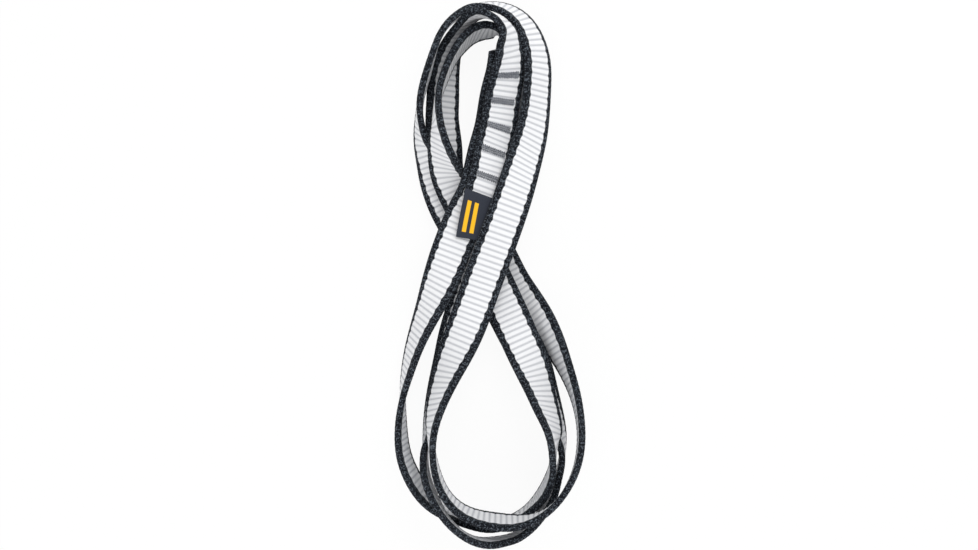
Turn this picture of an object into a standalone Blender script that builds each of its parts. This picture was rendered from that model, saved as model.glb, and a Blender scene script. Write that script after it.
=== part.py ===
"""Climbing sling: one length of flat webbing laid in three turns, lapped, bar-tacked and labelled.

The tape lies as a figure of eight, drawn in at the middle, with most of it standing on edge.
X runs to the right, Y along the figure's length and Z up from the face that the sling rests on.
"""
import bmesh
import bpy
import numpy as np

MM = 0.001

# Webbing section
WEB_WIDTH = 18.0 * MM
WEB_THICK = 3.0 * MM
EDGE_ROUND = 1.0 * MM
STATION_STEP = 4.2 * MM
FINE_STEP = 0.8 * MM
READS_PER_ROW = 60
FREE_RUN = 27.0 * MM
REST_CUT = 0.5 * MM
CUT_OVERRUN = 4.0 * MM

# Sewn lap of the two ends
LAP_GAP = 1.2 * MM
LAP_ROWS = 6
INNER_SLIDE = 3.0 * MM
INNER_END = (7.8, 97.0, 17.0, 46)

# Bar tacks
TACK_COUNT = 5
TACK_FIRST = 2.4 * MM
TACK_PITCH = 12.0 * MM
TACK_SPAN = 11.8 * MM
TACK_LENGTH = 3.0 * MM
TACK_BED = 0.25 * MM
TACK_THREAD = 0.35 * MM
TACK_STITCHES = 14
STITCH_SHARES = ((0.0, 0.0), (0.2, 0.8), (0.5, 1.0), (0.8, 0.8))
SEAT_GAP = 0.4 * MM

# Label
LABEL_WIDTH = 14.0 * MM
LABEL_LENGTH = 21.0 * MM
LABEL_THICK = 0.8 * MM
LABEL_LAP = 2.0 * MM
LABEL_ASIDE = 2.4 * MM
LABEL_RING_SHARES = (0.0, 0.25, 0.5, 0.75, 1.0)
LABEL_DROP = 4.2 * MM
LABEL_TURN = 7.0

# Turns of the webbing: x, y and height of its middle in millimetres, and its roll in degrees.
# Roll 0 stands the tape on edge with its first edge up, 90 lays it flat, 180 stands it the other way.
ROUTE = [
    # Inner end, out from under the lap, and left side of the lower loop, outermost strand
    (-10.0, 29.0, 20.0, 84), (-15.5, 16.0, 19.5, 90), (-21.5, 0.0, 18.0, 110),
    (-28.0, -16.0, 15.0, 138), (-34.0, -31.0, 12.5, 154), (-38.0, -45.0, 10.5, 165),
    (-40.5, -59.0, 9.5, 178), (-41.0, -72.0, 9.0, 187), (-39.5, -84.5, 9.0, 191),
    (-35.5, -94.5, 9.0, 193), (-30.5, -102.0, 9.0, 193), (-24.5, -107.5, 9.0, 191),
    (-16.5, -112.0, 9.0, 186), (-7.5, -115.5, 9.0, 183), (1.5, -117.0, 9.0, 181),
    (10.0, -115.0, 9.0, 180),
    # Right side of the lower loop, inner strand, up to the crossing
    (17.5, -110.0, 9.0, 180), (23.5, -104.0, 9.0, 180), (26.0, -97.0, 12.0, 179),
    (27.5, -86.0, 24.0, 174), (29.0, -81.0, 30.0, 166), (29.0, -74.5, 29.5, 158),
    (26.5, -64.5, 21.0, 148), (23.0, -52.0, 16.5, 136), (19.5, -41.0, 13.5, 112),
    (14.5, -30.0, 13.0, 96), (9.0, -17.5, 11.5, 90), (2.5, -3.5, 10.5, 90),
    # Left side of the upper loop, inner strand, over the top and under the lap
    (-3.5, 10.5, 10.5, 90), (-8.0, 23.0, 10.5, 90), (-12.5, 34.0, 10.5, 86), (-17.0, 43.0, 13.4, 72),
    (-19.5, 47.5, 14.6, 62), (-21.0, 51.5, 20.5, 45), (-22.0, 58.5, 29.0, 28), (-23.0, 65.0, 31.5, 16),
    (-23.5, 71.5, 29.5, 9), (-22.5, 80.0, 23.5, 4), (-19.0, 91.5, 20.0, -3), (-16.0, 99.5, 20.0, -3),
    (-11.0, 106.0, 16.0, -3), (-5.5, 111.5, 10.5, -4), (-0.5, 113.5, 9.0, -3), (4.0, 113.5, 9.0, 3),
    # Down beneath the lap to the crossing, lying flat
    (9.0, 111.5, 8.0, 34), (12.0, 108.5, 5.0, 62), (15.0, 104.5, 4.0, 76), (17.5, 96.5, 3.5, 80),
    (17.5, 85.0, 2.5, 86), (14.5, 71.0, 2.5, 90), (11.5, 56.5, 5.0, 90), (8.5, 42.5, 10.0, 90),
    (5.5, 33.5, 13.5, 90), (1.5, 24.5, 14.5, 90), (-1.5, 16.0, 14.5, 90),
    # Left side of the lower loop, middle strand, and over the outermost one at its foot
    (-5.0, 2.5, 14.5, 90), (-9.5, -11.5, 14.5, 94), (-15.0, -25.5, 14.0, 104),
    (-20.0, -38.5, 11.5, 128), (-25.0, -52.5, 9.5, 147), (-28.5, -65.0, 9.0, 160),
    (-30.0, -74.0, 10.0, 172), (-29.5, -81.5, 15.5, 180), (-28.5, -89.0, 22.0, 182),
    (-26.0, -97.0, 27.0, 182), (-22.5, -105.0, 29.0, 179), (-17.5, -112.0, 28.5, 175),
    (-11.0, -117.5, 27.0, 172), (-3.0, -122.0, 21.0, 172), (5.0, -123.0, 13.5, 174),
    (13.0, -121.0, 10.0, 177), (20.0, -117.0, 9.0, 180), (26.5, -110.5, 9.0, 180),
    # Right side of the lower loop, middle strand, leaning in under the inner one
    (30.5, -103.5, 9.0, 180), (33.0, -94.0, 9.0, 178), (35.0, -86.0, 9.0, 174), (34.0, -77.5, 9.0, 166),
    (29.5, -65.0, 8.0, 148), (25.0, -52.0, 8.0, 136), (20.0, -40.0, 8.5, 112), (14.0, -29.0, 9.0, 95),
    (7.5, -16.5, 7.5, 90), (0.5, -2.5, 6.5, 90),
    # Left side of the upper loop, outermost strand, and round the top
    (-7.0, 11.0, 6.0, 90), (-13.5, 21.5, 6.0, 90), (-18.5, 31.5, 6.0, 88), (-21.5, 41.5, 6.5, 82),
    (-24.0, 51.5, 9.9, 62), (-28.0, 60.0, 12.0, 36), (-30.5, 67.0, 13.5, 18), (-32.0, 73.5, 13.5, 8),
    (-30.0, 80.0, 17.0, 0), (-27.5, 91.0, 23.5, 0), (-25.5, 100.0, 27.0, 4), (-22.0, 110.0, 24.5, 9),
    (-15.5, 118.0, 19.0, 10), (-8.0, 122.0, 14.0, 8), (-0.5, 124.0, 12.0, 9), (8.5, 122.5, 12.0, 19),
    # Right side of the upper loop, over the lap's edge, to the top of the crossing
    (15.2, 118.0, 13.0, 29), (21.2, 109.5, 13.1, 37), (23.6, 99.0, 12.6, 41), (23.0, 87.5, 13.0, 42),
    (22.0, 76.5, 13.0, 43), (20.5, 66.0, 13.5, 51), (17.0, 53.0, 17.5, 62), (12.0, 37.0, 25.0, 73),
    (4.5, 16.0, 24.3, 80), (-1.5, 0.0, 21.5, 86),
    # Left side of the lower loop, innermost strand, and over the others along the foot
    (-7.5, -16.0, 19.0, 94), (-12.5, -29.0, 19.5, 108), (-17.5, -40.5, 19.5, 132),
    (-21.5, -51.5, 22.0, 147), (-25.0, -63.0, 28.0, 158), (-26.0, -71.5, 30.0, 170),
    (-25.5, -80.5, 27.5, 178), (-24.0, -89.0, 27.0, 182), (-20.0, -98.5, 27.0, 183),
    (-14.0, -105.0, 27.5, 182), (-6.0, -109.0, 28.0, 180), (2.5, -110.5, 28.0, 180),
    (11.5, -110.0, 28.0, 180), (20.0, -107.5, 28.3, 180), (27.5, -103.0, 28.5, 180),
    (34.0, -96.5, 27.5, 180),
    # Right side of the lower loop, outermost strand, turning over on its way to the crossing
    (39.0, -88.0, 24.5, 179), (42.0, -79.0, 20.5, 176), (42.0, -67.5, 17.0, 178),
    (40.0, -55.5, 13.5, 186), (36.0, -43.0, 9.5, 192), (31.4, -33.0, 9.0, 204), (22.0, -17.5, 4.5, 255),
    (11.5, -4.0, 2.0, 268),
    # Bottom of the crossing, and left side of the upper loop, lying flat under the other two
    (3.0, 11.0, 2.0, 270), (-5.0, 24.0, 2.0, 270), (-13.0, 36.5, 2.0, 270), (-20.0, 47.5, 2.0, 270),
    (-24.0, 58.0, 2.0, 270), (-25.5, 68.5, 2.0, 271), (-24.0, 79.0, 2.5, 275), (-22.5, 88.0, 4.0, 286),
    (-21.0, 95.0, 5.5, 302), (-18.5, 101.5, 8.5, 326), (-17.0, 107.5, 9.5, 346),
    (-12.5, 113.0, 13.5, 356), (-6.5, 116.5, 18.0, 366), (-3.5, 117.0, 22.0, 368),
    (0.5, 116.5, 25.5, 368), (5.0, 114.0, 28.5, 368),
    # Outer end, sewn on top of the inner one
    (7.5, 110.0, 27.5, 370), (9.5, 103.0, 24.0, 388), (10.0, 99.0, 22.7, 397), (10.0, 95.5, 21.3, 404),
    (9.5, 91.5, 19.5, 413), (7.5, 81.5, 16.5, 422), (5.0, 68.5, 15.5, 428), (2.0, 57.5, 19.0, 428),
    (0.0, 46.0, 22.5, 430), (-3.2, 34.5, 24.3, 432),
]
LOOP_SHIFT = (-0.4, -0.7)


def natural_spline(rows):
    """Return a function that reads a natural cubic spline through the rows, and its chord lengths."""
    chord = np.concatenate([[0.0], np.cumsum(np.linalg.norm(np.diff(rows[:, :3], axis=0), axis=1))])
    count = len(rows)
    step = np.diff(chord)
    matrix = np.zeros((count, count))
    target = np.zeros_like(rows)
    matrix[0, 0] = matrix[-1, -1] = 1.0
    for i in range(1, count - 1):
        matrix[i, i - 1] = step[i - 1]
        matrix[i, i] = 2.0 * (step[i - 1] + step[i])
        matrix[i, i + 1] = step[i]
        target[i] = 6.0 * ((rows[i + 1] - rows[i]) / step[i] - (rows[i] - rows[i - 1]) / step[i - 1])
    bend = np.linalg.solve(matrix, target)

    def read(at):
        i = np.clip(np.searchsorted(chord, at, side="right") - 1, 0, count - 2)
        span = step[i][:, None]
        a = (chord[i + 1] - at)[:, None] / span
        b = 1.0 - a
        curve = ((a ** 3 - a) * bend[i] + (b ** 3 - b) * bend[i + 1]) * span ** 2 / 6.0
        return a * rows[i] + b * rows[i + 1] + curve

    return read, chord


def even_stations(rows, step):
    """Return even stations along the rows' spline, each row's distance along it, and its length."""
    read, chord = natural_spline(rows)
    fine = np.linspace(0.0, chord[-1], READS_PER_ROW * len(rows))
    points = read(fine)[:, :3]
    run = np.concatenate([[0.0], np.cumsum(np.linalg.norm(np.diff(points, axis=0), axis=1))])
    count = round(run[-1] / step)
    at = np.interp(np.linspace(0.0, run[-1], count + 1), run, fine)
    return read(at), np.interp(chord, fine, run), run[-1]


def tape_frame(stations):
    """Return the tape's travel, width and face directions at each station."""
    along = np.gradient(stations[:, :3], axis=0)
    along /= np.linalg.norm(along, axis=1)[:, None]
    right = np.cross(along, (0.0, 0.0, 1.0))
    right /= np.linalg.norm(right, axis=1)[:, None]
    rise = np.cross(right, along)
    roll = np.radians(stations[:, 3])[:, None]
    across = np.cos(roll) * rise + np.sin(roll) * right
    return along, across, np.cross(along, across)


def full_route():
    """Return the route's rows in metres, with the inner end laid under the outer one."""
    rows = np.array(ROUTE, dtype=float)
    rows[:, :2] += LOOP_SHIFT
    rows[:, :3] *= MM
    rows[:, 2] -= REST_CUT
    stations, distance, length = even_stations(rows, FINE_STEP)
    _, across, face = tape_frame(stations)
    travelled = np.linspace(0.0, length, len(stations))
    under = rows[-LAP_ROWS:].copy()
    for i in range(LAP_ROWS):
        station = np.argmin(np.abs(travelled - distance[i - LAP_ROWS]))
        under[i, :3] += face[station] * (WEB_THICK + LAP_GAP) + across[station] * INNER_SLIDE * i / LAP_ROWS
    under[:, 3] -= 360.0
    first = np.array([INNER_END], dtype=float)
    first[:, :2] += LOOP_SHIFT
    first[:, :3] *= MM
    return np.vstack([first, under, rows])


def web_section():
    """Return the webbing's section as (across, face) pairs, counter-clockwise seen along the tape."""
    side, face = WEB_WIDTH / 2, WEB_THICK / 2
    flat, edge = side - EDGE_ROUND, face - EDGE_ROUND
    return [(side, -edge), (side, edge), (flat, face), (0.0, face), (-flat, face),
            (-side, edge), (-side, -edge), (-flat, -face), (0.0, -face), (flat, -face)]


def loft(name, rings):
    """Return a closed mesh object lofted through rings of as many points each."""
    mesh = bmesh.new()
    loops = [[mesh.verts.new(point) for point in ring] for ring in rings]
    sides = len(loops[0])
    for near, far in zip(loops, loops[1:]):
        for i in range(sides):
            j = (i + 1) % sides
            mesh.faces.new((near[i], near[j], far[j], far[i]))
    mesh.faces.new(list(reversed(loops[0])))
    mesh.faces.new(loops[-1])
    bmesh.ops.recalc_face_normals(mesh, faces=mesh.faces)
    data = bpy.data.meshes.new(name)
    mesh.to_mesh(data)
    mesh.free()
    return bpy.data.objects.new(name, data)


def material(name, colour, roughness):
    """Return a material with one Principled surface."""
    made = bpy.data.materials.new(name)
    made.use_nodes = True
    surface = made.node_tree.nodes["Principled BSDF"]
    surface.inputs["Base Color"].default_value = (*colour, 1.0)
    surface.inputs["Roughness"].default_value = roughness
    surface.inputs["Metallic"].default_value = 0.0
    return made


def collection(name):
    """Return a new collection under the scene's own."""
    made = bpy.data.collections.new(name)
    bpy.context.scene.collection.children.link(made)
    return made


def least_gap(stations, frame):
    """Return the least distance from the tape's corner points to any other stretch of it."""
    along, across, face = frame
    centres = stations[:, :3]
    count = np.arange(len(centres))
    apart = np.abs(count[:, None] - count[None]) * STATION_STEP > FREE_RUN
    least = np.inf
    for out, up in web_section():
        offset = (centres + out * across + up * face)[:, None, :] - centres[None]
        beside = np.abs(np.einsum("ijk,jk->ij", offset, along)) <= STATION_STEP / 2
        side = np.abs(np.einsum("ijk,jk->ij", offset, across)) - (WEB_WIDTH / 2 - EDGE_ROUND)
        lift = np.abs(np.einsum("ijk,jk->ij", offset, face)) - (WEB_THICK / 2 - EDGE_ROUND)
        gap = np.hypot(np.maximum(side, 0.0), np.maximum(lift, 0.0)) - EDGE_ROUND
        least = min(least, gap[beside & apart].min())
    return least


def make_webbing(rows):
    """Return the tape, lofted along its route and cut flat where it rests."""
    stations, _, length = even_stations(rows, STATION_STEP)
    frame = tape_frame(stations)
    _, across, face = frame
    rings = []
    for i, station in enumerate(stations):
        rings.append([station[:3] + out * across[i] + up * face[i] for out, up in web_section()])
    webbing = loft("webbing", rings)
    gap = least_gap(stations, frame)
    print("webbing length %.0f mm, least gap to itself %.2f mm" % (length / MM, gap / MM))
    return webbing


def rest_cutter(webbing):
    """Return a slab below the resting face, wider than the webbing all round."""
    low = np.min(webbing.bound_box, axis=0) - CUT_OVERRUN
    high = np.max(webbing.bound_box, axis=0) + CUT_OVERRUN
    mesh = bmesh.new()
    bmesh.ops.create_cube(mesh, size=1.0)
    size = (high[0] - low[0], high[1] - low[1], -low[2])
    middle = ((low[0] + high[0]) / 2, (low[1] + high[1]) / 2, low[2] / 2)
    bmesh.ops.scale(mesh, vec=size, verts=mesh.verts)
    bmesh.ops.translate(mesh, vec=middle, verts=mesh.verts)
    data = bpy.data.meshes.new("rest_slab")
    mesh.to_mesh(data)
    mesh.free()
    slab = bpy.data.objects.new("rest_slab", data)
    slab.hide_render = True
    slab.display_type = "WIRE"
    return slab


def tack_profile():
    """Return a tack's outline across the tape: a flat bed under a row of rounded stitches."""
    pitch = TACK_SPAN / TACK_STITCHES
    bed = [(-TACK_SPAN / 2, 0.0), (TACK_SPAN / 2, 0.0)]
    stitches = []
    for i in range(TACK_STITCHES):
        for pitch_share, height_share in STITCH_SHARES:
            out = -TACK_SPAN / 2 + (i + pitch_share) * pitch
            stitches.append((out, TACK_BED + height_share * TACK_THREAD))
    stitches.append((TACK_SPAN / 2, TACK_BED))
    return bed + stitches[::-1]


def make_tacks(rows):
    """Return the needle and bobbin threads of every bar tack, one on each face of the lap."""
    stations, distance, length = even_stations(rows, FINE_STEP)
    along, across, face = tape_frame(stations)
    travelled = np.linspace(0.0, length, len(stations))
    inner = stations[travelled < distance[LAP_ROWS + 1], :3]
    made = []
    for number in range(TACK_COUNT):
        upper, lower = [], []
        for end in (-TACK_LENGTH / 2, TACK_LENGTH / 2):
            place = distance[-LAP_ROWS] + TACK_FIRST + number * TACK_PITCH + end
            above = np.argmin(np.abs(travelled - place))
            beneath = stations[above, :3] + face[above] * (WEB_THICK + LAP_GAP)
            below = np.argmin(np.linalg.norm(inner - beneath, axis=1))
            for rings, i, side in ((upper, above, -1.0), (lower, below, 1.0)):
                seat = stations[i, :3] + side * face[i] * (WEB_THICK / 2 + SEAT_GAP)
                rings.append([seat + out * across[i] + side * up * face[i] for out, up in tack_profile()])
        made.append(loft("bar_tack_%d_upper" % (number + 1), upper))
        made.append(loft("bar_tack_%d_lower" % (number + 1), lower))
    return made


def make_label(rows):
    """Return the tag: a thin leaf sewn on the outer end that runs on past it, falling a little."""
    stations, _, length = even_stations(rows, FINE_STEP)
    along, across, face = tape_frame(stations)
    rise = WEB_THICK / 2 + SEAT_GAP + LABEL_THICK / 2
    turn = np.radians(LABEL_TURN)
    ahead = np.array([along[-1, 0] * np.cos(turn) - along[-1, 1] * np.sin(turn),
                      along[-1, 0] * np.sin(turn) + along[-1, 1] * np.cos(turn), 0.0])
    ahead /= np.linalg.norm(ahead)
    level = np.cross(ahead, (0.0, 0.0, 1.0))
    seated = np.argmin(np.abs(np.linspace(0.0, length, len(stations)) - (length - LABEL_LAP)))
    leaf = [(stations[seated, :3] - rise * face[seated], across[seated])]
    for share in LABEL_RING_SHARES:
        middle = stations[-1, :3] - rise * face[-1] + share * (LABEL_LENGTH - LABEL_LAP) * ahead
        middle[2] -= share * LABEL_DROP
        leaf.append((middle, (1.0 - share) * across[-1] + share * level))
    rings = []
    for middle, wide in leaf:
        wide /= np.linalg.norm(wide)
        middle = middle + LABEL_ASIDE * wide
        half_width, half_thick = wide * LABEL_WIDTH / 2, np.cross(ahead, wide) * LABEL_THICK / 2
        rings.append([middle + half_width - half_thick, middle + half_width + half_thick,
                      middle - half_width + half_thick, middle - half_width - half_thick])
    return loft("label", rings)


def main():
    """Build the sling and its cutter."""
    for item in list(bpy.data.objects):
        bpy.data.objects.remove(item)
    parts = collection("climbing_sling")
    cutters = collection("cutters")
    rows = full_route()

    webbing = make_webbing(rows)
    webbing.data.materials.append(material("white_webbing", (0.80, 0.81, 0.84), 0.80))
    slab = rest_cutter(webbing)
    cut = webbing.modifiers.new("resting_face", "BOOLEAN")
    cut.operation = "DIFFERENCE"
    cut.solver = "EXACT"
    cut.object = slab
    parts.objects.link(webbing)
    cutters.objects.link(slab)

    thread = material("grey_thread", (0.10, 0.11, 0.13), 0.70)
    for tack in make_tacks(rows):
        tack.data.materials.append(thread)
        parts.objects.link(tack)

    label = make_label(rows)
    label.data.materials.append(material("charcoal_tag", (0.03, 0.03, 0.04), 0.55))
    parts.objects.link(label)


main()
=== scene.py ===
"""Climbing sling, dressed: ribbed webbing with dark selvedges, sewn bar tacks and a small woven tag.

Everything is in metres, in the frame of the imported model: X to the right, Y along the figure of
eight and Z up from the face that the sling rests on.
"""
import logging
import math
from dataclasses import dataclass, field
from enum import Enum
from typing import Iterable, NamedTuple, Sequence, Union

import bmesh
import bpy
import numpy as np
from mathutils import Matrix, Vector


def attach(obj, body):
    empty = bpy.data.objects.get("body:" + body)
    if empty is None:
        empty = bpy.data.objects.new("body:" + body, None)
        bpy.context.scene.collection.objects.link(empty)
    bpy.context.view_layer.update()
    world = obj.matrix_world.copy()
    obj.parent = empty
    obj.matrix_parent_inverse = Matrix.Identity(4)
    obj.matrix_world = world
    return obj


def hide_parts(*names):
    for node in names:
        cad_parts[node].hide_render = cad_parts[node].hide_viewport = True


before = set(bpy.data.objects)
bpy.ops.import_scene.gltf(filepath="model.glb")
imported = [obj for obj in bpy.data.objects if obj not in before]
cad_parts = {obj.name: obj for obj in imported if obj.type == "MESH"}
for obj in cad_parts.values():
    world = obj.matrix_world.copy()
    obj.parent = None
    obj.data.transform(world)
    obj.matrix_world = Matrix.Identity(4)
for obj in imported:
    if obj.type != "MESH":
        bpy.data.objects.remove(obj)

LOG = logging.getLogger("sling")
MM = 0.001
FULL_TURN = 360.0
UP = (0.0, 0.0, 1.0)

# The webbing's middle, in millimetres, with its height and its roll in degrees, turn by turn.
ROUTE = [
    # Inner end, out from under the lap, and left side of the lower loop, outermost strand
    (-10.0, 29.0, 20.0, 84), (-15.5, 16.0, 19.5, 90), (-21.5, 0.0, 18.0, 110),
    (-28.0, -16.0, 15.0, 138), (-34.0, -31.0, 12.5, 154), (-38.0, -45.0, 10.5, 165),
    (-40.5, -59.0, 9.5, 178), (-41.0, -72.0, 9.0, 187), (-39.5, -84.5, 9.0, 191),
    (-35.5, -94.5, 9.0, 193), (-30.5, -102.0, 9.0, 193), (-24.5, -107.5, 9.0, 191),
    (-16.5, -112.0, 9.0, 186), (-7.5, -115.5, 9.0, 183), (1.5, -117.0, 9.0, 181),
    (10.0, -114.8, 9.0, 180),
    # Right side of the lower loop, inner strand, up to the crossing
    (17.9, -109.8, 9.0, 180), (22.9, -103.9, 11.0, 183), (26.4, -97.5, 15.6, 184),
    (28.6, -90.4, 20.6, 180), (29.2, -82.8, 24.6, 177), (29.3, -75.0, 27.6, 166),
    (27.0, -64.5, 23.0, 149), (23.0, -52.0, 16.5, 134), (19.2, -41.0, 13.5, 113),
    (14.5, -30.0, 13.0, 97), (9.0, -17.5, 11.5, 90), (2.5, -3.5, 10.5, 90),
    # Left side of the upper loop, inner strand, over the top and under the lap
    (-3.5, 10.5, 10.5, 90), (-8.0, 23.0, 10.5, 89), (-12.8, 34.0, 10.6, 83), (-17.8, 44.0, 14.0, 66),
    (-20.6, 53.0, 21.8, 44), (-22.2, 60.5, 27.8, 26), (-23.2, 67.5, 29.8, 14),
    (-23.5, 75.0, 28.0, 7), (-22.6, 83.0, 24.5, 2), (-20.0, 91.5, 21.0, -2), (-16.6, 99.5, 19.0, -3),
    (-11.7, 107.1, 15.0, -7), (-5.7, 112.3, 11.0, -10), (-0.4, 113.9, 9.2, -9), (4.2, 113.3, 9.0, 1),
    # Down beneath the lap to the crossing, lying flat
    (7.6, 109.8, 7.4, 32), (10.4, 105.8, 5.2, 60), (13.0, 101.2, 4.2, 76), (16.2, 95.5, 3.5, 81),
    (16.4, 85.0, 2.5, 86), (14.0, 71.0, 2.5, 90), (11.5, 56.5, 5.0, 90), (8.5, 42.5, 10.0, 90),
    (5.5, 33.5, 13.5, 90), (1.5, 24.5, 14.5, 90), (-1.5, 16.0, 14.5, 90),
    # Left side of the lower loop, middle strand, and over the outermost one at its foot
    (-5.0, 2.5, 14.5, 90), (-9.5, -11.5, 14.5, 94), (-14.0, -25.5, 13.5, 104),
    (-18.4, -38.3, 11.3, 128), (-23.2, -52.3, 9.2, 147), (-26.6, -64.5, 9.0, 160),
    (-28.4, -73.0, 9.3, 170), (-29.3, -80.5, 10.8, 177), (-29.1, -88.0, 17.4, 181),
    (-27.0, -96.2, 24.8, 182), (-22.8, -104.6, 28.8, 179), (-17.5, -112.0, 28.5, 175),
    (-11.0, -117.8, 26.5, 173), (-3.0, -121.8, 20.8, 172), (5.0, -122.9, 14.2, 174),
    (13.4, -121.4, 10.2, 177), (20.2, -116.6, 9.0, 179), (26.2, -109.0, 9.0, 180),
    # Right side of the lower loop, middle strand, leaning in under the inner one
    (30.0, -102.3, 9.0, 180), (32.3, -94.0, 9.0, 179), (34.0, -86.0, 9.0, 177), (33.6, -77.0, 9.0, 168),
    (29.5, -65.0, 8.0, 148), (25.0, -52.0, 8.0, 134), (20.0, -40.0, 8.5, 112), (14.0, -29.0, 9.0, 96),
    (7.5, -16.5, 7.5, 90), (0.5, -2.5, 6.5, 90),
    # Left side of the upper loop, outermost strand, and round the top
    (-7.0, 11.0, 6.0, 90), (-13.5, 21.5, 6.0, 89), (-19.0, 31.5, 6.0, 82), (-23.4, 41.5, 6.6, 66),
    (-27.2, 51.5, 8.2, 43), (-30.4, 60.0, 9.8, 24), (-31.8, 67.5, 12.4, 13), (-31.9, 75.0, 15.0, 6),
    (-30.8, 82.5, 18.6, 2), (-28.4, 91.0, 22.6, 1), (-25.5, 100.0, 26.0, 4), (-21.4, 110.3, 24.5, 8),
    (-15.0, 118.2, 19.5, 9), (-8.2, 122.8, 14.5, 12), (-0.6, 124.6, 12.2, 17), (7.9, 123.0, 12.0, 24),
    # Right side of the upper loop, over the lap's edge, to the top of the crossing
    (14.9, 117.9, 12.6, 31), (19.9, 109.5, 12.9, 36), (22.4, 99.0, 12.9, 40), (22.4, 87.5, 13.0, 42),
    (21.5, 76.5, 13.2, 45), (19.8, 66.0, 14.3, 52), (16.3, 53.0, 18.2, 62), (11.4, 37.0, 24.0, 73),
    (4.1, 16.0, 24.3, 80), (-1.8, 0.0, 21.5, 86),
    # Left side of the lower loop, innermost strand, and over the others along the foot
    (-7.5, -16.0, 19.0, 94), (-12.5, -29.0, 19.0, 110), (-17.3, -40.5, 20.2, 130),
    (-21.3, -51.5, 23.2, 147), (-24.4, -62.0, 27.0, 159), (-25.8, -71.5, 28.8, 170),
    (-25.5, -80.5, 28.0, 177), (-23.8, -89.5, 27.2, 181), (-20.0, -98.5, 27.2, 182),
    (-14.0, -105.2, 27.5, 184), (-6.0, -109.2, 28.0, 187), (2.5, -111.0, 28.0, 189),
    (11.6, -111.6, 28.0, 186), (21.0, -109.6, 28.3, 176), (28.7, -104.7, 28.5, 171),
    (34.9, -97.3, 27.5, 172),
    # Right side of the lower loop, outermost strand, turning over on its way to the crossing
    (39.5, -88.3, 24.5, 175), (41.8, -79.0, 20.5, 178), (42.0, -67.5, 16.6, 181),
    (39.8, -55.5, 13.2, 187), (35.5, -43.5, 10.4, 197), (29.5, -31.3, 8.4, 215), (19.9, -17.0, 5.2, 247),
    (10.8, -4.0, 2.2, 267),
    # Bottom of the crossing, and left side of the upper loop, lying flat under the other two
    (3.0, 11.0, 2.0, 270), (-5.0, 24.0, 2.0, 270), (-13.0, 36.5, 2.0, 270), (-20.5, 47.5, 2.2, 272),
    (-21.4, 57.0, 2.8, 280), (-21.6, 66.0, 5.0, 298), (-21.9, 74.0, 6.0, 307), (-21.6, 82.5, 6.2, 309),
    (-21.2, 91.0, 6.6, 313), (-19.5, 100.8, 8.0, 326), (-16.5, 108.8, 10.4, 340),
    (-12.8, 114.3, 13.8, 352), (-7.8, 118.2, 17.8, 361), (-3.2, 118.8, 21.6, 366),
    (1.3, 117.2, 25.2, 369), (5.6, 114.3, 27.4, 376),
    # Outer end, sewn on top of the inner one
    (8.7, 109.6, 26.8, 384), (9.0, 103.4, 25.1, 395), (9.1, 98.5, 23.2, 404), (8.7, 94.5, 21.6, 409),
    (8.2, 91.0, 20.0, 414), (6.3, 81.5, 17.0, 422), (4.4, 68.5, 15.8, 428), (2.0, 57.5, 19.0, 428),
    (0.0, 46.0, 22.5, 430), (-3.2, 34.5, 24.3, 432),
]
LOOP_SHIFT = (-0.4, -0.7)
SURFACE_MAP = "surface"

Colour = tuple[float, float, float]
Value = Union["Socket", float]


class LapSide(Enum):
    """The side of the lap that a thread lies on, as the sign of its lift along the webbing's face."""

    UPPER = -1.0
    LOWER = 1.0


def unit(arrows: np.ndarray) -> np.ndarray:
    """Return the arrows at a length of one."""
    return arrows / np.linalg.norm(arrows, axis=-1, keepdims=True)


def in_frame(rows: Sequence[tuple]) -> np.ndarray:
    """Return rows of millimetres and degrees as metres and degrees, shifted onto the frame's origin."""
    moved = np.array(rows, dtype=float)
    moved[:, :2] += LOOP_SHIFT
    moved[:, :3] *= MM
    return moved


class Stations(NamedTuple):
    """Places along the webbing, with the directions of its travel, width and face."""

    travelled: np.ndarray
    centre: np.ndarray
    along: np.ndarray
    across: np.ndarray
    face: np.ndarray

    def nearest(self, distance: float) -> int:
        """Return the index of the station nearest to a distance travelled."""
        return int(np.argmin(np.abs(self.travelled - distance)))


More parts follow.
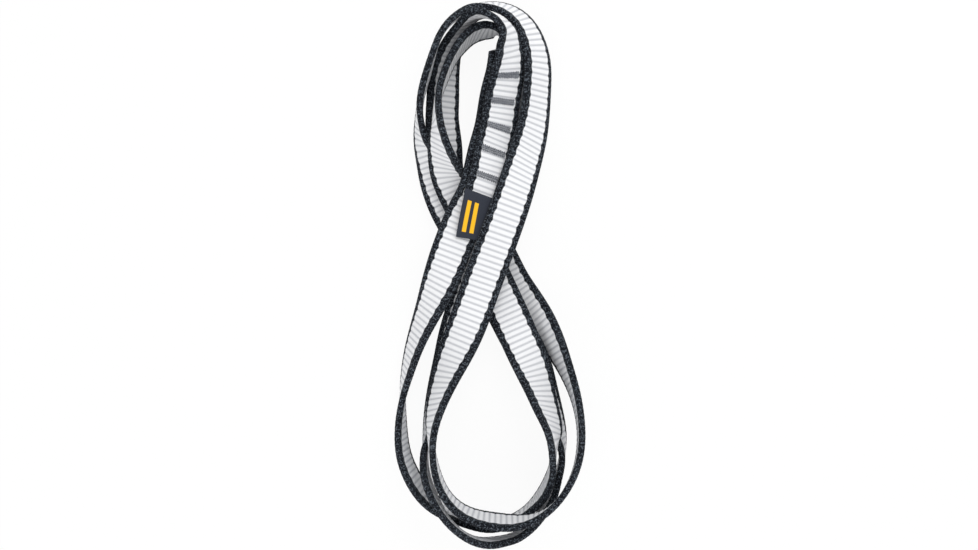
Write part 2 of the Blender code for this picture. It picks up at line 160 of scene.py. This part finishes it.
class Course:
    """A natural cubic spline through rows, read by the distance travelled along it."""

    reads_per_row: int = 60
    fine_step: float = 0.8 * MM

    def __init__(self, rows: np.ndarray) -> None:
        """Fit the spline, measure it and set its fine stations."""
        self.rows = rows
        lengths = np.linalg.norm(np.diff(rows[:, :3], axis=0), axis=1)
        self.chord = np.concatenate([[0.0], np.cumsum(lengths)])
        self.bend = self.bends()
        self.fine = np.linspace(0.0, self.chord[-1], self.reads_per_row * len(rows))
        steps = np.linalg.norm(np.diff(self.read(self.fine)[:, :3], axis=0), axis=1)
        self.travelled = np.concatenate([[0.0], np.cumsum(steps)])
        self.length = float(self.travelled[-1])
        self.stations = self.even_stations()

    def bends(self) -> np.ndarray:
        """Return how strongly the spline bends at each row, with none at its two ends."""
        rows, step = self.rows, np.diff(self.chord)
        matrix = np.zeros((len(rows), len(rows)))
        target = np.zeros_like(rows)
        matrix[0, 0] = matrix[-1, -1] = 1.0
        for i in range(1, len(rows) - 1):
            matrix[i, i - 1:i + 2] = step[i - 1], 2.0 * (step[i - 1] + step[i]), step[i]
            rise = (rows[i + 1] - rows[i]) / step[i] - (rows[i] - rows[i - 1]) / step[i - 1]
            target[i] = 6.0 * rise
        return np.linalg.solve(matrix, target)

    def read(self, at: np.ndarray) -> np.ndarray:
        """Return the spline's rows at the given chord lengths."""
        i = np.clip(np.searchsorted(self.chord, at, side="right") - 1, 0, len(self.rows) - 2)
        span = np.diff(self.chord)[i][:, None]
        a = (self.chord[i + 1] - at)[:, None] / span
        b = 1.0 - a
        curve = ((a ** 3 - a) * self.bend[i] + (b ** 3 - b) * self.bend[i + 1]) * span ** 2 / 6.0
        return a * self.rows[i] + b * self.rows[i + 1] + curve

    def at(self, distances: np.ndarray) -> np.ndarray:
        """Return the spline's rows at the given distances travelled."""
        return self.read(np.interp(distances, self.travelled, self.fine))

    def row_distances(self) -> np.ndarray:
        """Return how far along the webbing each row lies."""
        return np.interp(self.chord, self.fine, self.travelled)

    def even_stations(self) -> Stations:
        """Return even, fine stations along the whole webbing."""
        even = np.linspace(0.0, self.length, round(self.length / self.fine_step) + 1)
        places = self.at(even)
        along = unit(np.gradient(places[:, :3], axis=0))
        right = unit(np.cross(along, UP))
        rise = np.cross(right, along)
        roll = np.radians(places[:, 3])[:, None]
        across = np.cos(roll) * rise + np.sin(roll) * right
        return Stations(even, places[:, :3], along, across, np.cross(along, across))

    def stations_at(self, distances: np.ndarray) -> Stations:
        """Return stations at chosen distances.

        Args:
            distances: The distances travelled, in order.

        Returns:
            The stations, with directions blended from the fine ones.
        """
        along, across = (np.stack([np.interp(distances, self.stations.travelled, arrows[:, k])
                                   for k in range(3)], axis=1)
                         for arrows in (self.stations.along, self.stations.across))
        along = unit(along)
        across = unit(across - along * np.sum(across * along, axis=1)[:, None])
        return Stations(distances, self.at(distances)[:, :3], along, across, np.cross(along, across))


@dataclass
class TapeRoute:
    """The course of the webbing through its three turns, from the inner end to the outer one."""

    thick: float = 3.0 * MM
    rest_cut: float = 0.5 * MM
    lap_rows: int = 6
    lap_gap: float = 1.2 * MM
    inner_slide: float = 3.0 * MM
    inner_end: tuple = (5.7, 103.6, 20.0, 36)
    course: Course = field(init=False)

    def __post_init__(self) -> None:
        """Lay the inner end under the outer one and keep the whole course."""
        rows = in_frame(ROUTE)
        rows[:, 2] -= self.rest_cut
        turns = Course(rows)
        lap = turns.row_distances()[-self.lap_rows:]
        under = rows[-self.lap_rows:].copy()
        for i in range(self.lap_rows):
            k = turns.stations.nearest(lap[i])
            slide = turns.stations.across[k] * self.inner_slide * i / self.lap_rows
            under[i, :3] += turns.stations.face[k] * (self.thick + self.lap_gap) + slide
        under[:, 3] -= FULL_TURN
        self.course = Course(np.vstack([in_frame([self.inner_end]), under, rows]))


class Socket:
    """One output of a shader node, with the arithmetic that the finishes use."""

    def __init__(self, shop: "NodeShop", output: bpy.types.NodeSocket) -> None:
        """Keep the output and the shop that adds nodes beside it."""
        self.shop = shop
        self.output = output

    def maths(self, operation: str, *values: Value) -> "Socket":
        """Return the result of one Math node."""
        return self.shop.node("ShaderNodeMath", {"operation": operation}, dict(enumerate(values)))

    def __add__(self, other: Value) -> "Socket":
        """Return the sum."""
        return self.maths("ADD", self, other)

    def __rsub__(self, other: float) -> "Socket":
        """Return this output taken away from a number."""
        return self.maths("SUBTRACT", other, self)

    def __mul__(self, other: Value) -> "Socket":
        """Return the product."""
        return self.maths("MULTIPLY", self, other)

    def __abs__(self) -> "Socket":
        """Return the size without its sign."""
        return self.maths("ABSOLUTE", self)

    def wave(self, pitch: float) -> "Socket":
        """Return humps from 0 to 1, one for each pitch."""
        return abs(self.maths("SINE", self * (math.pi / pitch)))

    def ramp(self, low: float, high: float, first: float = 0.0, last: float = 1.0) -> "Socket":
        """Return the value eased from first to last as it goes from low to high."""
        return self.shop.node("ShaderNodeMapRange", {"interpolation_type": "SMOOTHSTEP"},
                              {0: self, 1: low, 2: high, 3: first, 4: last})


class NodeShop:
    """Adds nodes to one node tree."""

    def __init__(self, tree: bpy.types.NodeTree) -> None:
        """Keep the tree."""
        self.tree = tree

    def node(self, kind: str, settings: dict, inputs: dict, output: Union[int, str] = 0) -> Socket:
        """Add a node.

        Args:
            kind: The node's type.
            settings: Its properties, set first.
            inputs: A value or a link for each input that is used, by index or name.
            output: The output that is wanted.

        Returns:
            That output.
        """
        made = self.tree.nodes.new(kind)
        for key, value in settings.items():
            setattr(made, key, value)
        for key, value in inputs.items():
            self.feed(made.inputs[key], value)
        return Socket(self, made.outputs[output])

    def feed(self, entry: bpy.types.NodeSocket, value: Union[Socket, float, tuple]) -> None:
        """Link a socket to an entry, or set the entry's own value."""
        if isinstance(value, Socket):
            self.tree.links.new(value.output, entry)
        else:
            entry.default_value = value

    def ray(self, kind: str) -> Socket:
        """Return 1 for one kind of light ray and 0 for every other."""
        return self.node("ShaderNodeLightPath", {}, {}, kind)


class Noise(NamedTuple):
    """How a cloth's noise stretches along and across it, with its layer, scale and detail."""

    along: float
    across: float
    layer: float
    scale: float
    detail: float = 2.0


class Finisher(NodeShop):
    """Builds one material's nodes."""

    specular: float = 0.14
    sheen: float = 0.02
    sheen_roughness: float = 0.6

    def __init__(self, name: str) -> None:
        """Start a material and keep its surface."""
        self.material = bpy.data.materials.new(name)
        self.material.use_nodes = True
        super().__init__(self.material.node_tree)
        self.surface = self.tree.nodes["Principled BSDF"]

    def mix(self, factor: Value, first: Union[Socket, Colour], second: Union[Socket, Colour]) -> Socket:
        """Return two colours mixed.

        Args:
            factor: How much of the second there is.
            first: The colour at 0.
            second: The colour at 1.

        Returns:
            The mixed colour.
        """
        inputs = {0: factor, 6: self.paint(first), 7: self.paint(second)}
        return self.node("ShaderNodeMix", {"data_type": "RGBA", "clamp_factor": True}, inputs, 2)

    @staticmethod
    def paint(colour: Union[Socket, Colour]) -> Union[Socket, tuple]:
        """Return a colour with its fourth channel."""
        return colour if isinstance(colour, Socket) else (*colour, 1.0)

    def noise(self, place: Socket, scale: float, detail: float) -> Socket:
        """Return smooth noise from 0 to 1 at a place."""
        return self.node("ShaderNodeTexNoise", {}, {"Vector": place, "Scale": scale, "Detail": detail})

    def flecks(self, scale: float, detail: float) -> Socket:
        """Return noise that keeps its size in metres all over the piece."""
        return self.noise(self.node("ShaderNodeTexCoord", {}, {}, "Object"), scale, detail)

    def cloth(self, along: Socket, across: Socket, kind: Noise) -> Socket:
        """Return noise that follows the piece's own surface coordinates."""
        inputs = {0: along * kind.along, 1: across * kind.across, 2: kind.layer}
        return self.noise(self.node("ShaderNodeCombineXYZ", {}, inputs), kind.scale, kind.detail)

    def grain(self) -> tuple[Socket, Socket]:
        """Return the piece's own surface coordinates: along it and across it."""
        place = self.node("ShaderNodeUVMap", {"uv_map": SURFACE_MAP}, {})
        return (self.node("ShaderNodeSeparateXYZ", {}, {0: place}, 0),
                self.node("ShaderNodeSeparateXYZ", {}, {0: place}, 1))

    def finish(self, colour: Socket, roughness: float, height: Socket, depth: float) -> bpy.types.Material:
        """Join the maps to the surface.

        Args:
            colour: The base colour.
            roughness: The roughness.
            height: The relief, in units of depth.
            depth: The relief's depth in metres.

        Returns:
            The material.
        """
        bump = self.node("ShaderNodeBump", {}, {"Height": height, "Distance": depth, "Strength": 1.0})
        for entry, value in {"Base Color": colour, "Roughness": roughness, "Normal": bump,
                             "Specular IOR Level": self.specular, "Sheen Weight": self.sheen,
                             "Sheen Roughness": self.sheen_roughness}.items():
            self.feed(self.surface.inputs[entry], value)
        return self.material


@dataclass(frozen=True)
class WebbingFinish:
    """White ribbed tape with charcoal selvedges.

    Its noises and widths are in rib numbers along the tape and millimetres across it, a range is the part
    of a value that a change eases over, and a share or relief is how much of a change there is.
    """

    white: Colour = (0.86, 0.865, 0.88)
    # The grey painted into the rib valleys as shade.
    valley_shade: Colour = (0.54, 0.55, 0.58)
    yarn_grey: Colour = (0.70, 0.71, 0.74)
    soil_grey: Colour = (0.74, 0.75, 0.78)
    selvedge: Colour = (0.0022, 0.0032, 0.0062)
    # Lighter yarn flecks, also a painted highlight where they lie on the rib crests.
    selvedge_fleck_highlight: Colour = (0.088, 0.103, 0.122)
    half_width: float = 9.0
    border: float = 3.35
    border_blur: float = 0.20
    scallop: float = 0.60
    scallop_ribs: float = 2.0
    crest_range: tuple = (0.10, 0.95)
    yarn: Noise = Noise(3.0, 0.35, 0.0, 2.1, 3.0)
    yarn_range: tuple = (0.35, 0.75)
    yarn_share: float = 0.16
    soil: Noise = Noise(0.05, 0.12, 3.0, 1.3)
    soil_range: tuple = (0.45, 0.80)
    soil_share: float = 0.10
    fleck_scale: float = 1500.0
    fleck_detail: float = 1.0
    fleck_range: tuple = (0.48, 0.62)
    fleck_in_valley: float = 0.35
    crest_highlight_range: tuple = (0.25, 0.90)
    weft: Noise = Noise(4.0, 1.6, 1.0, 2.6)
    warp_pitch: float = 0.62
    crest_relief: float = 0.45
    warp_relief: float = 0.12
    weft_relief: float = 0.40
    roughness: float = 0.80
    depth: float = 0.16 * MM

    def material(self) -> bpy.types.Material:
        """Return the tape's material."""
        shop = Finisher("white_webbing_ribbed")
        rib, side = shop.grain()
        crest = rib.wave(1.0)
        inward = self.half_width - abs(side) + rib.wave(self.scallop_ribs) * self.scallop
        dark = inward.ramp(self.border - self.border_blur, self.border + self.border_blur, 1.0, 0.0)
        colour = shop.mix(dark, self.middle(shop, rib, side, crest), self.edge(shop, crest))
        relief = (crest * self.crest_relief + side.wave(self.warp_pitch) * self.warp_relief
                  + shop.cloth(rib, side, self.weft) * self.weft_relief)
        return shop.finish(colour, self.roughness, relief, self.depth)

    def middle(self, shop: Finisher, rib: Socket, side: Socket, crest: Socket) -> Socket:
        """Return the pale ribs: white crests over valleys painted greyer as shade, with uneven yarn and a
        little soil.
        """
        yarn = shop.cloth(rib, side, self.yarn).ramp(*self.yarn_range, 0.0, self.yarn_share)
        soil = shop.cloth(rib, side, self.soil).ramp(*self.soil_range, 0.0, self.soil_share)
        # Painted shade: the valleys between the ribs are mixed towards grey.
        pale = shop.mix(crest.ramp(*self.crest_range), self.valley_shade, self.white)
        return shop.mix(soil, shop.mix(yarn, pale, self.yarn_grey), self.soil_grey)

    def edge(self, shop: Finisher, crest: Socket) -> Socket:
        """Return the dark selvedge, flecked with lighter yarn, with a painted highlight that makes the
        flecks strongest on the crests.
        """
        # Painted highlight: the flecks are brightest on the rib crests and fainter in the valleys.
        lit = crest.ramp(*self.crest_highlight_range) * (1.0 - self.fleck_in_valley) + self.fleck_in_valley
        fleck = shop.flecks(self.fleck_scale, self.fleck_detail).ramp(*self.fleck_range)
        return shop.mix(fleck * lit, self.selvedge, self.selvedge_fleck_highlight)


@dataclass(frozen=True)
class ThreadFinish:
    """Sewing thread, dark grey with a little lustre."""

    dark: Colour = (0.075, 0.082, 0.098)
    light: Colour = (0.320, 0.335, 0.370)
    fleck_scale: float = 2600.0
    fleck_detail: float = 2.0
    fleck_range: tuple = (0.35, 0.65)
    roughness: float = 0.62
    depth: float = 0.05 * MM

    def material(self) -> bpy.types.Material:
        """Return the thread's material."""
        shop = Finisher("grey_sewing_thread")
        fleck = shop.flecks(self.fleck_scale, self.fleck_detail)
        colour = shop.mix(fleck.ramp(*self.fleck_range), self.dark, self.light)
        return shop.finish(colour, self.roughness, fleck, self.depth)


@dataclass(frozen=True)
class TagFinish:
    """Charcoal woven tag with plain golden bars, in millimetres along it and across it."""

    cloth: Colour = (0.022, 0.026, 0.038)
    cloth_light: Colour = (0.040, 0.046, 0.062)
    gold: Colour = (0.93, 0.47, 0.010)
    gold_light: Colour = (0.98, 0.56, 0.030)
    weave: Noise = Noise(3.2, 3.2, 0.0, 1.9)
    weave_range: tuple = (0.3, 0.7)
    weave_relief: float = 0.5
    row_relief: float = 0.5
    bar_blur: float = 0.08
    row_pitch: float = 0.45
    roughness: float = 0.55
    depth: float = 0.06 * MM

    def between(self, place: Socket, low: float, high: float) -> Socket:
        """Return 1 from low to high and 0 outside, with a slight blur."""
        blur = self.bar_blur
        return place.ramp(low - blur, low + blur) * place.ramp(high - blur, high + blur, 1.0, 0.0)

    def material(self, bars: Sequence[tuple]) -> bpy.types.Material:
        """Return the tag's material.

        Args:
            bars: Each bar's first and last millimetre across the tag and along it.

        Returns:
            The material.
        """
        shop = Finisher("charcoal_tag_with_bars")
        along, across = shop.grain()
        weave = shop.cloth(along, across, self.weave)
        uneven = weave.ramp(*self.weave_range)
        inside: Value = 0.0
        for left, right, head, foot in bars:
            inside = self.between(across, left, right) * self.between(along, head, foot) + inside
        colour = shop.mix(inside, shop.mix(uneven, self.cloth, self.cloth_light),
                          shop.mix(uneven, self.gold, self.gold_light))
        relief = along.wave(self.row_pitch) * self.row_relief + weave * self.weave_relief
        return shop.finish(colour, self.roughness, relief, self.depth)


def pick_only(item: bpy.types.Object) -> None:
    """Select one object alone and make it the active one."""
    bpy.ops.object.select_all(action="DESELECT")
    item.select_set(True)
    bpy.context.view_layer.objects.active = item


def smooth(item: bpy.types.Object, crease: float) -> None:
    """Shade an object smoothly, with edges kept sharp where it turns by more than crease degrees."""
    item.data.shade_smooth()
    item.data.set_sharp_from_angle(angle=math.radians(crease))


@dataclass
class Webbing:
    """The one length of tape, with a rib for every pick of its weave."""

    route: TapeRoute
    width: float = 18.0 * MM
    rib_pitch: float = 2.62 * MM
    rib_depth: float = 0.15 * MM
    rib_phases: tuple = (0.0, 0.10, 0.5, 0.90)
    rib_heights: tuple = (0.0, 0.80, 1.0, 0.80)
    edge_round: float = 1.0 * MM
    side_push: float = 0.3
    corner_push: float = 0.7
    flat_shares: tuple = (1.0, 0.82, 0.62, 0.4, 0.2, 0.0)
    crease: float = 70.0
    finish: WebbingFinish = field(default_factory=WebbingFinish)

    def section(self) -> np.ndarray:
        """Return the section's points as across, face, and the ribs' push along each."""
        side, face, edge = self.width / 2, self.route.thick / 2, self.edge_round
        flat = side - edge
        mirrored = tuple(-share for share in reversed(self.flat_shares[:-1]))
        top = [(flat * share, face, 0.0, 1.0) for share in self.flat_shares + mirrored]
        slope = math.sqrt(0.5)
        push = self.corner_push * slope
        right = [(side, face - edge, self.side_push, 0.0),
                 (flat + edge * slope, face - edge + edge * slope, push, push)]
        left = [(-a, b, -c, d) for a, b, c, d in reversed(right)]
        upper = np.array(right + top + left)
        return np.concatenate([upper, -upper])

    def build(self) -> bpy.types.Object:
        """Return the tape's object, resting on the ground."""
        ribs = int(self.route.course.length / self.rib_pitch)
        phases = np.array([i + phase for i in range(ribs) for phase in self.rib_phases] + [float(ribs)])
        heights = np.array(list(self.rib_heights) * ribs + [0.0])
        section = self.section()
        tape = self.loft(phases * self.route.course.length / ribs, heights, section)
        self.lay_surface(tape, phases, section[:, 0] / MM)
        smooth(tape, self.crease)
        tape.data.materials.append(self.finish.material())
        return tape

    def loft(self, distances: np.ndarray, heights: np.ndarray, section: np.ndarray) -> bpy.types.Object:
        """Return the section swept along the route.

        Args:
            distances: How far along the route each ring lies.
            heights: How high each ring stands between a rib's valley, 0, and its crest, 1.
            section: The section's points and pushes.

        Returns:
            The tape, closed at both ends and facing outward.
        """
        stations = self.route.course.stations_at(distances)
        relief = (heights - 1.0)[:, None] * self.rib_depth
        side, lift = (section[None, :, k] + relief * section[None, :, k + 2] for k in range(2))
        points = (stations.centre[:, None] + side[..., None] * stations.across[:, None]
                  + lift[..., None] * stations.face[:, None])
        points[..., 2] = np.maximum(points[..., 2], 0.0)
        count, around = len(distances), len(section)
        faces = [(i + j, i + j + around, i + k + around, i + k)
                 for i in range(0, (count - 1) * around, around)
                 for j, k in zip(range(around), (*range(1, around), 0))]
        faces.append(tuple(range(around)))
        faces.append(tuple((count - 1) * around + j for j in reversed(range(around))))
        data = bpy.data.meshes.new("webbing_tape")
        data.from_pydata([tuple(point) for point in points.reshape(-1, 3)], [], faces)
        outward = bmesh.new()
        outward.from_mesh(data)
        bmesh.ops.recalc_face_normals(outward, faces=outward.faces)
        outward.to_mesh(data)
        outward.free()
        tape = bpy.data.objects.new("webbing_tape", data)
        bpy.context.scene.collection.objects.link(tape)
        return tape

    @staticmethod
    def lay_surface(tape: bpy.types.Object, phases: np.ndarray, across: np.ndarray) -> None:
        """Write the rib number and the millimetres across into the tape's own surface map."""
        layer = tape.data.uv_layers.new(name=SURFACE_MAP)
        around = len(across)
        index = np.zeros(len(tape.data.loops), dtype=np.int32)
        tape.data.loops.foreach_get("vertex_index", index)
        place = np.stack([phases[index // around], across[index % around]], axis=1)
        layer.data.foreach_set("uv", place.astype(np.float32).ravel())


@dataclass
class BarTacks:
    """Five dense rows of zigzag stitches across the lap, seen on both of its faces.

    A stitch is a slope, given as half its width and its height, and a rounded turn, given as the two
    places where it lies level. They are shares of one stitch's width and of the tack's length. The
    zigzag lies a stack of thread radii above the face, and the underlay one radius lower.
    """

    route: TapeRoute
    count: int = 5
    first: float = -0.9 * MM
    pitch: float = 12.55 * MM
    span: float = 11.8 * MM
    length: float = 3.3 * MM
    aside: float = 0.5 * MM
    thread: float = 0.15 * MM
    thread_steps: int = 1
    lift: float = 0.10 * MM
    stack: float = 1.6
    stitches: int = 12
    slope: tuple = (0.12, 0.40)
    turn: tuple = (0.30, 0.70)
    turn_in: float = 0.02
    uneven: float = 0.08
    underlay: tuple = (-0.30, -0.02, 0.27)
    underlay_points: int = 13
    underlay_uneven: float = 0.04
    finish: ThreadFinish = field(default_factory=ThreadFinish)

    def zigzag(self, seed: int) -> list[tuple[float, float, float]]:
        """Return the thread's course as shares of the span and the length, and its level."""
        chance = np.random.default_rng(seed)
        course = []
        step = 1.0 / (self.stitches * 2)
        half, rise = self.slope
        for i in range(self.stitches * 2):
            share = (i + 0.5) * step - 0.5
            end = 1.0 if i % 2 else -1.0
            reach = end * (0.5 - self.uneven * chance.random()) - end * self.turn_in
            points = ((-half, -end * rise), (half, end * rise), *((at, reach) for at in self.turn))
            course.extend((share + ahead * step, out, 0.0) for ahead, out in points)
        underlay = []
        shares = np.linspace(-0.5, 0.5, self.underlay_points)
        for k, reach in enumerate(self.underlay):
            for share in (shares[::-1] if k % 2 else shares):
                shake = self.underlay_uneven * (chance.random() - 0.5)
                underlay.append((float(share), reach + shake, -1.0))
        return underlay + course

    def laid(self, number: int, side: LapSide) -> list[np.ndarray]:
        """Return one tack's thread, laid on one side of the lap.

        Args:
            number: The tack, counted from 0 towards the outer cut end.
            side: The side of the lap.

        Returns:
            The points that the thread follows.
        """
        stations, thick = self.route.course.stations, self.route.thick
        distance = self.route.course.row_distances()
        inner = stations.centre[stations.travelled < distance[self.route.lap_rows + 1]]
        middle = distance[-self.route.lap_rows] + self.first + number * self.pitch
        course = []
        for share, reach, level in self.zigzag(number):
            place = middle + reach * self.length
            i = stations.nearest(place)
            ahead = place - stations.travelled[i]
            if side is LapSide.LOWER:
                beneath = stations.centre[i] + stations.face[i] * (thick + self.route.lap_gap)
                i = int(np.argmin(np.linalg.norm(inner - beneath, axis=1)))
            rise = thick / 2 + self.lift + self.thread * (self.stack + level)
            course.append(stations.centre[i] + stations.along[i] * ahead
                          + stations.across[i] * (share * self.span + self.aside)
                          + stations.face[i] * side.value * rise)
        return course

    def sew(self, name: str, course: Sequence) -> bpy.types.Object:
        """Return a round thread along a course of points.

        Args:
            name: The piece's name.
            course: The points that the thread follows.

        Returns:
            The thread, as a mesh.
        """
        line = bpy.data.curves.new(name, "CURVE")
        line.dimensions = "3D"
        line.bevel_depth = self.thread
        line.bevel_resolution = self.thread_steps
        line.use_fill_caps = True
        run = line.splines.new("POLY")
        run.points.add(len(course) - 1)
        for knot, point in zip(run.points, course):
            knot.co = (*point, 1.0)
        made = bpy.data.objects.new(name, line)
        bpy.context.scene.collection.objects.link(made)
        pick_only(made)
        bpy.ops.object.convert(target="MESH")
        made = bpy.context.object
        made.data.shade_smooth()
        return made

    def build(self) -> list[tuple[bpy.types.Object, str]]:
        """Return every tack's thread with the node that it stands for."""
        finish = self.finish.material()
        made = []
        for number in range(self.count):
            for side in LapSide:
                node = f"bar_tack_{number + 1}_{side.name.lower()}"
                piece = self.sew(f"{node}_thread", self.laid(number, side))
                piece.data.materials.append(finish)
                made.append((piece, node))
        return made


@dataclass
class Tag:
    """A thin woven leaf seated on the outer cut end, lying on over the strand beneath."""

    route: TapeRoute
    width: float = 14.0 * MM
    length: float = 21.0 * MM
    thick: float = 0.8 * MM
    lap: float = 2.0 * MM
    aside: float = 2.4 * MM
    drop: float = 4.2 * MM
    turn: float = 7.0
    seat: float = 0.4 * MM
    grid: tuple = (16, 24)
    edge_share: float = 0.3
    edge_steps: int = 2
    crease: float = 50.0
    bars: tuple = ((-0.6, 1.3, 4.8, 18.3), (2.9, 4.8, 4.8, 18.3))
    finish: TagFinish = field(default_factory=TagFinish)

    def heading(self) -> np.ndarray:
        """Return the level direction in which the tag's free part points."""
        x, y, _ = self.route.course.stations.along[-1]
        cos, sin = math.cos(math.radians(self.turn)), math.sin(math.radians(self.turn))
        return unit(np.array([x * cos - y * sin, x * sin + y * cos, 0.0]))

    def bent(self, out: float, travelled: float) -> Vector:
        """Return where a point of the flat tag comes to lie.

        Args:
            out: The point's distance from the tag's middle line.
            travelled: Its distance from the sewn edge.

        Returns:
            The point, on the tag's middle sheet.
        """
        stations = self.route.course.stations
        rise = self.route.thick / 2 + self.seat + self.thick / 2
        if travelled <= self.lap:
            seated = stations.nearest(stations.travelled[-1] - self.lap)
            part = travelled / self.lap
            middle, wide, down = ((1.0 - part) * arrows[seated] + part * arrows[-1]
                                  for arrows in (stations.centre, stations.across, stations.face))
            middle = middle - rise * down
        else:
            ahead, free = self.heading(), self.length - self.lap
            part = (travelled - self.lap) / free
            middle = stations.centre[-1] - rise * stations.face[-1] + part * free * ahead
            middle[2] -= part * self.drop
            wide = (1.0 - part) * stations.across[-1] + part * np.cross(ahead, UP)
        return Vector(middle + (self.aside + out) * unit(wide))

    def build(self) -> bpy.types.Object:
        """Return the tag: a grid bent to its place, given its thickness and rounded edges."""
        bpy.ops.object.select_all(action="DESELECT")
        bpy.ops.mesh.primitive_grid_add(x_subdivisions=self.grid[0], y_subdivisions=self.grid[1], size=1.0)
        tag = bpy.context.object
        tag.name = tag.data.name = "tag_leaf"
        layer = tag.data.uv_layers.new(name=SURFACE_MAP)
        for loop in tag.data.loops:
            corner = tag.data.vertices[loop.vertex_index].co
            layer.data[loop.index].uv = ((corner.y + 0.5) * self.length / MM, corner.x * self.width / MM)
        for vertex in tag.data.vertices:
            vertex.co = self.bent(vertex.co.x * self.width, (vertex.co.y + 0.5) * self.length)
        self.thicken(tag)
        smooth(tag, self.crease)
        tag.data.materials.append(self.finish.material(self.bars))
        return tag

    def thicken(self, tag: bpy.types.Object) -> None:
        """Give the sheet its thickness and round its edges."""
        pick_only(tag)
        solid = tag.modifiers.new("thickness", "SOLIDIFY")
        solid.thickness = self.thick
        solid.offset = 0.0
        bpy.ops.object.modifier_apply(modifier=solid.name)
        bevel = tag.modifiers.new("soft_edge", "BEVEL")
        bevel.width = self.thick * self.edge_share
        bevel.segments = self.edge_steps
        bevel.limit_method = "ANGLE"
        bpy.ops.object.modifier_apply(modifier=bevel.name)


class Lamp(NamedTuple):
    """A square lamp: its name, place, size in metres and power in watts."""

    name: str
    place: tuple
    size: float
    power: float


@dataclass
class Studio:
    """The white ground, the soft lamps and the camera straight above, in metres.

    The lens and its sensor are in millimetres, and the daylight is what the sling receives from all round.
    """

    eye: tuple = (-0.4 * MM, -0.7 * MM, 573.1 * MM)
    lens: float = 44.58
    sensor: float = 36.0
    nearest_seen: float = 0.01
    lamps: tuple = (Lamp("window", (0.25, 0.55, 0.75), 0.60, 4.1),
                    Lamp("fill", (-0.25, -0.70, 0.50), 0.70, 2.5))
    daylight: float = 0.72
    backdrop: float = 1.0
    ground: float = 6.0
    ground_drop: float = 0.02 * MM
    ground_grey: Colour = (0.90, 0.90, 0.90)
    ground_roughness: float = 0.9
    ground_glow: float = 0.93

    def build(self) -> bpy.types.Object:
        """Return the ground, after setting the camera, lamps and world."""
        bpy.context.scene.view_settings.view_transform = "Standard"
        self.camera()
        for lamp in self.lamps:
            self.hang(lamp)
        self.sky()
        return self.floor()

    def camera(self) -> None:
        """Set the camera above the sling, looking straight down."""
        lens = bpy.data.cameras.new("photo_camera")
        lens.lens = self.lens
        lens.sensor_width = self.sensor
        lens.clip_start = self.nearest_seen
        camera = bpy.data.objects.new("photo_camera", lens)
        camera.location = self.eye
        bpy.context.scene.collection.objects.link(camera)
        bpy.context.scene.camera = camera

    @staticmethod
    def hang(lamp: Lamp) -> None:
        """Hang a lamp that faces the sling."""
        light = bpy.data.lights.new(lamp.name, "AREA")
        light.shape = "SQUARE"
        light.size = lamp.size
        light.energy = lamp.power
        holder = bpy.data.objects.new(lamp.name, light)
        holder.location = lamp.place
        holder.rotation_euler = (-Vector(lamp.place)).to_track_quat("-Z", "Y").to_euler()
        bpy.context.scene.collection.objects.link(holder)

    def sky(self) -> None:
        """Surround the scene with plain pale light, white where the camera sees it."""
        world = bpy.data.worlds.new("studio")
        bpy.context.scene.world = world
        world.use_nodes = True
        shop = NodeShop(world.node_tree)
        direct = shop.ray("Is Camera Ray")
        seen = direct.maths("MAXIMUM", direct, shop.ray("Is Transmission Ray"))
        strength = shop.node("ShaderNodeMapRange", {},
                             {"Value": seen, "To Min": self.daylight, "To Max": self.backdrop})
        background = shop.tree.nodes["Background"]
        shop.feed(background.inputs["Color"], (1.0, 1.0, 1.0, 1.0))
        shop.feed(background.inputs["Strength"], strength)

    def floor(self) -> bpy.types.Object:
        """Return the ground: white to the camera, with the sling's soft shadow kept on it."""
        bpy.ops.object.select_all(action="DESELECT")
        bpy.ops.mesh.primitive_plane_add(size=self.ground, location=(0.0, 0.0, 0.0))
        ground = bpy.context.object
        ground.name = "studio_ground"
        for vertex in ground.data.vertices:
            vertex.co.z -= self.ground_drop
        shop = Finisher("studio_white")
        shop.feed(shop.surface.inputs["Base Color"], shop.paint(self.ground_grey))
        shop.feed(shop.surface.inputs["Roughness"], self.ground_roughness)
        glow = shop.node("ShaderNodeEmission", {}, {})
        mixed = shop.node("ShaderNodeMixShader", {},
                          {0: shop.ray("Is Camera Ray") * self.ground_glow,
                           1: Socket(shop, shop.surface.outputs[0]), 2: glow})
        shop.feed(shop.tree.nodes["Material Output"].inputs["Surface"], mixed)
        ground.data.materials.append(shop.material)
        return ground


def dress(piece: bpy.types.Object, nodes: Iterable[str]) -> None:
    """Set a finished piece on the sling's body, in place of the nodes that it stands for.

    Args:
        piece: The finished piece.
        nodes: The nodes that it replaces.
    """
    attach(piece, "root")
    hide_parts(*nodes)
    LOG.info("%s: %d faces", piece.name, len(piece.data.polygons))


def main() -> None:
    """Dress the sling, piece by piece, and set its studio."""
    logging.basicConfig(level=logging.INFO, format="%(name)s: %(message)s")
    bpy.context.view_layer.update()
    route = TapeRoute()
    dress(Webbing(route).build(), ["webbing"])
    for thread, node in BarTacks(route).build():
        dress(thread, [node])
    dress(Tag(route).build(), ["label"])
    Studio().build()


if __name__ == "__main__":
    main()
